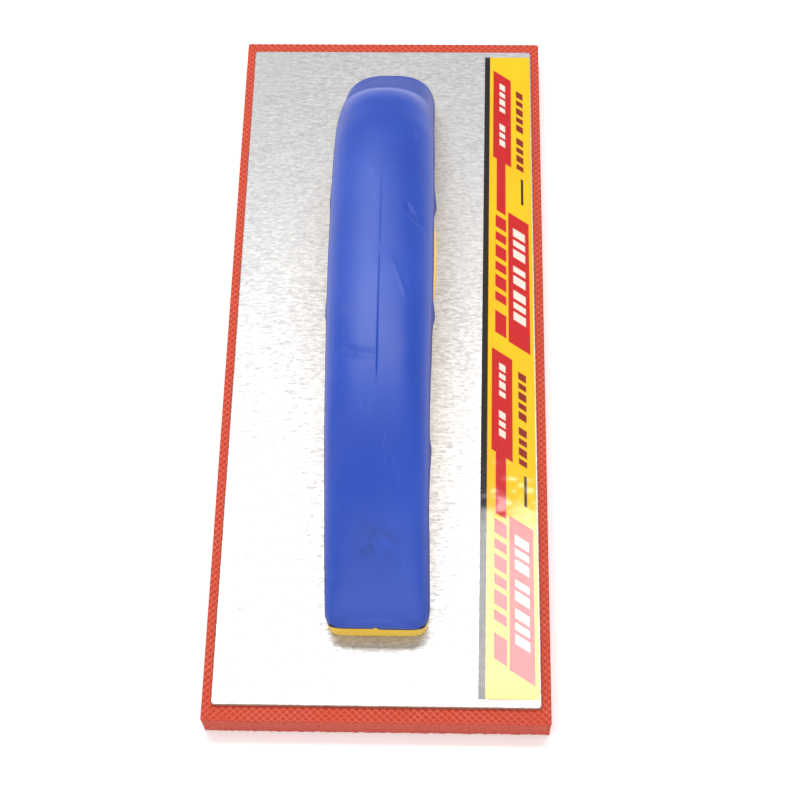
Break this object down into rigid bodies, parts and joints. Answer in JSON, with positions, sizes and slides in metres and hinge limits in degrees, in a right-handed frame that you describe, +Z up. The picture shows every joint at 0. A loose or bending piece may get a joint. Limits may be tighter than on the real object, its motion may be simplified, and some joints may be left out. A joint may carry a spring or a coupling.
{
  "type": "rubber float",
  "caption": "Rectangular foam rubber finishing float for mortar and plaster, on a thin metal backing plate with a two-material bridge handle and a finger gap",
  "frame": {"origin": "centre of the underside of the rubber pad, on the working face", "axes": "+Y along the tool towards the toe of the handle, +X to the right seen from above with the heel near the user, +Z up from the working face through the handle"},
  "size_m": [0.1, 0.24, 0.0711],
  "materials": {
    "pad_rubber": "open-celled foam rubber, matt, embossed with small diamonds",
    "glue": "cured contact adhesive",
    "plate_metal": "fine brushed across the width",
    "label_ink": "printed yellow vinyl with red bands and a dark edge stripe",
    "label_gloss": "clear glossy over-laminate",
    "core_plastic": "moulded polypropylene, satin",
    "soft_grip": "soft thermoplastic rubber, satin",
    "screw_zinc": "bright zinc plated"
  },
  "bodies": {
    "root": {"rubber_pad": "pad_rubber", "pad_glue": "glue", "backing_plate": "plate_metal", "label_print": "label_ink", "label_film": "label_gloss", "handle_core": "core_plastic", "grip_cover": "soft_grip", "heel_screws": "screw_zinc", "toe_screws": "screw_zinc"}
  },
  "joints": []
}
